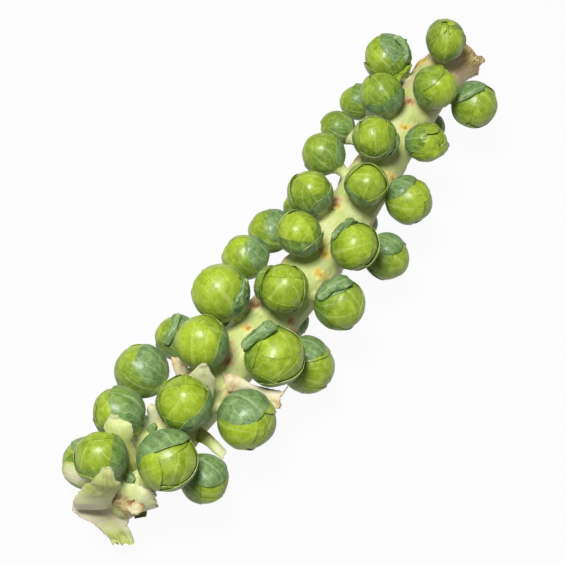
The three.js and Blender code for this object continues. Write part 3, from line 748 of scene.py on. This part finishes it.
# The strips of flesh of each stub: thickness in mm, the part of its length that the tear eats
# into, and rows from the stalk to the torn end. A row gives the strip's left and right edge and
# how far its middle arches, in mm, then how green it is and how brown, from 0 to 1.
TORN_STRIPS = {
    "leaf_stub_41": [
        (1.8, 0.08, [
            ((114, 5, 71.5), (121, 15, 64), 1, 0.4, 0.38), ((109, 13, 69), (116, 19, 62), 2, 0.1, 0.24),
            ((108, 19, 68), (112, 24, 63), 2, 0.1, 0.12), ((108, 26, 67), (109, 30, 64), 1, 0, 0.05),
            ((106, 35, 69), (111, 38, 66), 1, 0, 0.02), ((104, 42, 71), (114, 46, 66), 1, 0, 0.12),
            ((102, 49, 72), (113, 54, 68), 1, 0.1, 0.22)]),
        (0.6, 0.05, [
            ((105, 46, 70.5), (104, 49, 71), 0.3, 0.2, 0.2),
            ((102, 48, 72.5), (101.5, 49, 73), 0.2, 0.2, 0.2),
            ((98.5, 49, 75), (98.5, 49.6, 75), 0, 0.2, 0.3)])],
    "leaf_stub_42": [
        (1.6, 0.15, [
            ((129, -21, 58), (121, -14, 60), 1, 0, 0.22), ((127, -25, 62), (121, -16, 62), 1, 0, 0.18),
            ((124, -29, 65), (119, -22, 65), 1, 0, 0.18), ((121, -32, 67), (119, -28, 67), 0, 0.1, 0.22)])],
    "leaf_stub_44": [
        (2.2, 0.1, [
            ((140, 2, 70), (133, 12, 72), 2, 0.7, -0.1), ((138, -4, 80), (128, 11, 81), 3, 0.4, -0.1),
            ((134, -6, 88), (126, 10, 88), 3, 0.4, -0.1), ((131, -3, 94), (126, 7, 93), 2, 0.4, -0.1),
            ((128, -1, 99), (125, 4, 97), 1, 0.4, -0.05), ((126, 1, 102), (125, 2, 101), 0, 0.3, 0.05)])],
    "leaf_stub_46": [
        (1.4, 0.1, [
            ((149, 13, 57), (160, 16, 59), 2, 1.2, 0.15), ((150, 21, 58), (159, 24, 60), 3, 1, 0.1),
            ((153, 31, 60), (161, 33, 61), 3, 0.6, 0), ((155, 39, 61), (161, 41, 61), 1, 0.4, 0.05)])],
    "leaf_stub_47": [
        (1.6, 0.15, [
            ((172, -12, 64), (165, -4, 66), 1, 0.4, 0.05), ((167, -16, 69), (162, -9, 70), 2, 0.3, 0),
            ((164, -19, 75), (160, -13, 76), 2, 0.2, 0), ((161, -18, 78), (159, -15, 79), 0, 0.2, 0.15)])],
    "leaf_stub_50": [
        (1.8, 0.15, [
            ((181, -17, 56), (194, -17, 54), 1, 0.8, 0), ((182, -26, 53), (193, -26, 51), 2, 0.7, 0),
            ((184, -36, 47), (191, -36, 46), 1, 0.6, 0.2)])],
    "leaf_stub_52": [
        (2.2, 0.05, [
            ((208, -3, 60), (199, 1, 64), 1, 1.1, -0.1), ((201, -8, 72), (194, -4, 74), 2, 1, -0.1),
            ((197, -15, 80), (192, -9, 84), 3, 0.9, -0.1), ((198, -24, 90), (188, -10, 93), 3, 0.8, -0.1),
            ((195, -28, 94), (185, -13, 98), 2, 0.8, -0.1), ((191, -27, 98), (187, -20, 97), 1, 0.7, -0.1),
            ((187, -26, 101), (185.5, -23, 100), 0, 0.5, 0.05)])],
    "leaf_stub_54": [
        (2.6, 0.1, [
            ((212, -7, 66), (227, -4, 44), 4, 0.9, 0.1), ((211, -1, 68), (226, 5, 44), 5, 0.8, 0),
            ((209, 6, 69), (221, 9, 46), 5, 0.7, 0), ((208, 12, 70), (217, 13, 50), 4, 0.5, -0.1),
            ((207, 16, 70), (213, 18, 53), 2, 0.3, -0.1), ((206, 20, 70), (210, 23, 55), 1, 0.2, -0.1)]),
        (1.4, 0.1, [
            ((219, 9, 46), (222, 11, 44), 0.5, 1.6, -0.2), ((214, 16, 48), (217, 17, 45), 0.5, 1.6, -0.2)])],
    "leaf_stub_55": [
        (2.4, 0.04, [
            ((241, -21.6, 58), (227, -1.6, 57), 1, 0.3, 0.1),
            ((239.5, -21.5, 66), (226.5, -2.5, 67), 2, 0.4, 0.03),
            ((236, -21, 72), (222.5, 0.5, 75), 2.5, 0.6, 0.03),
            ((233, -19, 76.5), (222, 1, 79.5), 3, 0.8, 0), ((231, -17.5, 81), (220, 3, 84), 3, 1, 0),
            ((228.5, -14.5, 86), (218.5, 3.5, 88), 3, 1, 0.03),
            ((227, -12.5, 91), (220.5, 0.5, 92.5), 3, 0.9, 0.05),
            ((223, -10, 96.5), (218, -2, 98), 2, 0.8, 0.05),
            ((218.5, -8, 101), (217, -5, 101.5), 1, 0.5, 0)])],
    "leaf_stub_57": [
        (4.5, 0.05, [
            ((233, -23, 60), (221, -7, 56), 4, 0, 0.15), ((236, -24, 58), (221, -4, 54), 5, 0, 0.02),
            ((241, -25, 53), (222, 1, 50), 5.5, 0, 0), ((242, -20, 49), (222, 5, 48), 5, 0, 0),
            ((241, -13, 45), (222, 8, 45), 5, 0.1, 0.04), ((239, -9, 41), (225, 8, 42), 5, 0.2, 0.04),
            ((239, -6, 37), (228, 8, 38), 4, 0.6, 0), ((239, -2, 33), (229, 11, 34), 3, 0.8, -0.1),
            ((239, 2, 29), (230, 14, 30), 2, 0.9, -0.1), ((241, 5, 26), (233, 17, 27), 1, 0.9, 0)])],
}

bpy.ops.mesh.primitive_grid_add(x_subdivisions=STRIP_CELLS_ACROSS, y_subdivisions=STRIP_CELLS_ALONG, size=2)
blank_strip = bpy.context.active_object
blank_strip.data.materials.append(flesh)
strip_across, strip_along, _ = read_points(blank_strip).T
strip_along = (strip_along + 1) / 2
strip_column = np.round((strip_across + 1) / 2 * STRIP_CELLS_ACROSS).astype(int)
strip_row = np.round(strip_along * STRIP_CELLS_ALONG).astype(int)


def torn_strip(thickness, tear, rows, rng):
    """One strip of flesh through its rows, torn at its end and thinned towards its edges."""
    table = np.array([[*left, *right, arch, green, brown] for left, right, arch, green, brown in rows])
    row_at = np.linspace(0, 1, len(rows))
    teeth = np.array([rng.uniform(0, 1) for _ in range(STRIP_CELLS_ACROSS + 1)])
    along = strip_along * (1 - tear * teeth[strip_column])

    def row(v):
        return np.stack([sum(np.interp(v + shift, row_at, one) for shift in (-0.04, 0, 0.04)) / 3
                         for one in table.T], -1)

    here = row(along)
    left, right = here[:, :3] / 1000, here[:, 3:6] / 1000
    middle, half = (left + right) / 2, (right - left) / 2
    ahead = (row(along + 0.03) - row(along - 0.03))[:, :6]
    normal = unit(np.cross(half, ahead[:, :3] + ahead[:, 3:]))
    off_stalk = middle - middle_line(np.clip(middle[:, 0], ring_x[0], ring_x[-1]))
    if (normal * off_stalk).sum() < 0:
        normal = -normal

    # The edges are nicked, the middle arches off the stalk, and the flesh is ridged and ruffled.
    nick = 1 + NICK_DEPTH * np.array([rng.uniform(-1, 1) for _ in range(STRIP_CELLS_ALONG + 1)])
    nick = np.where(np.abs(strip_across) > 0.9, nick[strip_row], 1)
    ridge = FIBRE_HEIGHT * np.sin(FIBRE_COUNT * math.pi * strip_across)
    points = middle + (strip_across * nick)[:, None] * half
    points += normal * (here[:, 6] / 1000 * (1 - strip_across ** 2) + ridge)[:, None]
    ruffle = RUFFLE_HEIGHT + TORN_RUFFLE_HEIGHT * smoothstep(0.75, 1.0, strip_along)
    points += normal * (ruffle * lumps(points, RUFFLE_SIZE, 2))[:, None]

    edge = smoothstep(0.8, 1.0, np.abs(strip_across))
    torn = TORN_BROWN * np.maximum(0.5 * edge, smoothstep(0.95, 1.0, strip_along))
    strip = copy_of(blank_strip, points, green=here[:, 7] - 0.3 * edge, brown=here[:, 8] + torn)
    fleshy = strip.vertex_groups.new(name="fleshy")
    for i, weight in enumerate(1 - 0.9 * edge):
        fleshy.add([i], float(weight), "REPLACE")
    finish_with(strip, "SOLIDIFY", thickness=thickness / 1000, offset=0, vertex_group="fleshy",
                thickness_vertex_group=STRIP_EDGE)
    return strip


# An old wound on stub 54, its brown deepest along its upper side (towards the top of the view): a ring of
# torn fibres round a flat pinkish pad, lumpy, on a slant. Each line of its facing is where one of its own
# axes points.
WOUND_RADIUS = 0.0042
WOUND_RING = 0.0012
WOUND_PLACE = np.array([0.2190, 0.0120, 0.0615])
WOUND_FACING = np.array([[-0.56, 0.83, 0], [-0.72, -0.48, 0.50], [0.41, 0.28, 0.87]])
WOUND_LUMP_SIZE = 0.002


def wound():
    bpy.ops.mesh.primitive_torus_add(major_segments=28, minor_segments=10, major_radius=WOUND_RADIUS,
                                     minor_radius=WOUND_RING, location=(0, 0, 0))
    ring = bpy.context.active_object
    bpy.ops.mesh.primitive_ico_sphere_add(subdivisions=3, radius=WOUND_RADIUS)
    bpy.ops.transform.resize(value=(1, 1, 0.25))
    bpy.ops.object.transform_apply(scale=True)
    pad = bpy.context.active_object
    for piece, browner in ((ring, 1.0), (pad, 0.3)):
        piece.data.materials.append(flesh)
        points = read_points(piece)
        top = smoothstep(-0.2, 0.9, points[:, 1] / WOUND_RADIUS)
        points *= 1 + 0.25 * lumps(points, WOUND_LUMP_SIZE, 4)[:, None]
        write_points(piece, WOUND_PLACE + points @ WOUND_FACING)
        paint(piece, "green", 0.3)
        paint(piece, "brown", 0.32 + 0.68 * browner * top)
    return join([ring, pad], "wound")


# The broad pale midrib of an outer leaf that clasps sprout 50. It is given like a loose leaf.
CLASPING_RIB = (34, 97, 30, 25, 0.0, 4, 0.8)
CLASPING_RIB_LIFT = 0.0008  # off the ball
CLASPING_RIB_THICKNESS = 0.0012

# The small leaf of a stunted bud beside a stub: its place on the skin in metres, and its bearing
# round the stalk in degrees. The leaf itself is given like a loose leaf.
BUD_LEAVES = {"leaf_stub_47": (0.1707, -0.0087, 0.0702, -20), "leaf_stub_54": (0.2067, -0.0003, 0.0688, 7)}
BUD_LEAF = (0, 20, 50, 32, 1.0, 30, 0)
BUD_RADIUS = 0.0048
BUD_SUNK = 0.6  # of its radius, under the skin


def bud_leaf(x, y, z, bearing, rng):
    bearing = math.radians(bearing)
    out = np.array([0, math.sin(bearing), math.cos(bearing)])
    place = np.array([x, y, z])
    bud = {"root": place, "centre": place - BUD_SUNK * BUD_RADIUS * out, "out": out, "radius": BUD_RADIUS,
           "squeeze": NOT_SQUEEZED}
    points, _ = cupped_leaf(bud, BUD_LEAF, 0, rng)
    blade = copy_of(blank_leaf, points, age=1.0, rim=0.2)
    finish_with(blade, "SOLIDIFY", thickness=LEAF_THICKNESS, offset=-1)
    return blade


for name, strips in TORN_STRIPS.items():
    rng = random.Random(name)
    pieces = [torn_strip(*strip, rng) for strip in strips]
    if name in BUD_LEAVES:
        pieces.append(bud_leaf(*BUD_LEAVES[name], rng))
    if name == "leaf_stub_54":
        pieces.append(wound())
    if name == "leaf_stub_50":
        points, _ = cupped_leaf(heads["sprout_50"], CLASPING_RIB, -CLASPING_RIB_LIFT, rng)
        rib = copy_of(blank_leaf, points, green=0.25 + 0.8 * toward_edge ** 2, brown=0.0)
        rib.data.materials[0] = flesh
        finish_with(rib, "SOLIDIFY", thickness=CLASPING_RIB_THICKNESS, offset=-1)
        pieces.append(rib)
    stub = join(pieces, "torn_" + name)
    bpy.ops.object.shade_smooth_by_angle(angle=math.radians(50))
    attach(stub, "root")
    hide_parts(name)
for blank in (blank_leaf, blank_strip):
    bpy.data.objects.remove(blank)


# ---------------------------------------------------------------------------
# The studio: a white sheet, a large soft lamp nearly overhead, pale fill all round, and the
# camera high above the crown's end and a little to one side, looking down on the stalk.

# The sheet looks white to the camera and in reflections, but lights the stalk as matt grey would.
bpy.ops.mesh.primitive_plane_add(size=6, location=(0, 0, -0.0002))
floor = bpy.context.active_object
floor.name = "floor"
sheet, tree, shader = finish_of("white_sheet", Base_Color=srgb("#b8b8b8"), Roughness=0.9,
                                Specular_IOR_Level=0.1)
rays = node(tree, "LightPath").outputs
seen = node(tree, "Math", {0: rays["Is Camera Ray"], 1: rays["Is Glossy Ray"]}, operation="MAXIMUM")
seen = node(tree, "Math", {0: seen, 1: rays["Is Transmission Ray"]}, operation="MAXIMUM")
seen = node(tree, "Math", {0: seen, 1: 0.95}, operation="MULTIPLY")
glow = node(tree, "Emission", {"Color": srgb("#ffffff"), "Strength": 1.0})
mixed = node(tree, "MixShader", {0: seen, 1: shader, 2: glow})
tree.links.new(mixed.outputs[0], tree.nodes["Material Output"].inputs["Surface"])
floor.data.materials.append(sheet)

# The room is white behind the stalk, and lights it only a little.
world = bpy.data.worlds.new("pale_room")
bpy.context.scene.world = world
world.use_nodes = True
tree = world.node_tree
rays = node(tree, "LightPath").outputs
seen = node(tree, "Math", {0: rays["Is Camera Ray"], 1: rays["Is Transmission Ray"]}, operation="MAXIMUM")
strength = node(tree, "MapRange", {0: seen, 3: 0.16, 4: 1.0})
background = tree.nodes["Background"]
background.inputs["Color"].default_value = srgb("#ffffff")
tree.links.new(strength.outputs[0], background.inputs["Strength"])

TARGET = Vector((0.0276, -0.0013, 0.052))
CAMERA_AZIMUTH = math.radians(124)
CAMERA_ELEVATION = math.radians(60)
CAMERA_DISTANCE = 0.95
LAMP_AZIMUTH = math.radians(76)
LAMP_ELEVATION = math.radians(80)
LAMP_DISTANCE = 1.3


def direction(azimuth, elevation):
    return Vector((math.sin(azimuth) * math.cos(elevation), -math.cos(azimuth) * math.cos(elevation),
                   math.sin(elevation)))


back = direction(CAMERA_AZIMUTH, CAMERA_ELEVATION)
camera = bpy.data.objects.new("camera", bpy.data.cameras.new("camera"))
bpy.context.collection.objects.link(camera)
camera.data.lens = 85
camera.data.shift_x = -0.0044
camera.data.shift_y = 0.0133
camera.location = TARGET + CAMERA_DISTANCE * back
camera.rotation_mode = "QUATERNION"
camera.rotation_quaternion = (-back).to_track_quat("-Z", "Y")
bpy.context.scene.camera = camera

toward_lamp = direction(LAMP_AZIMUTH, LAMP_ELEVATION)
lamp = bpy.data.objects.new("overhead_softbox", bpy.data.lights.new("overhead_softbox", "AREA"))
bpy.context.collection.objects.link(lamp)
lamp.data.shape = "DISK"
lamp.data.size = 0.40
lamp.data.energy = 19.4
lamp.location = TARGET + LAMP_DISTANCE * toward_lamp
lamp.rotation_mode = "QUATERNION"
lamp.rotation_quaternion = toward_lamp.to_track_quat("Z", "Y")

bpy.context.scene.view_settings.view_transform = "Standard"
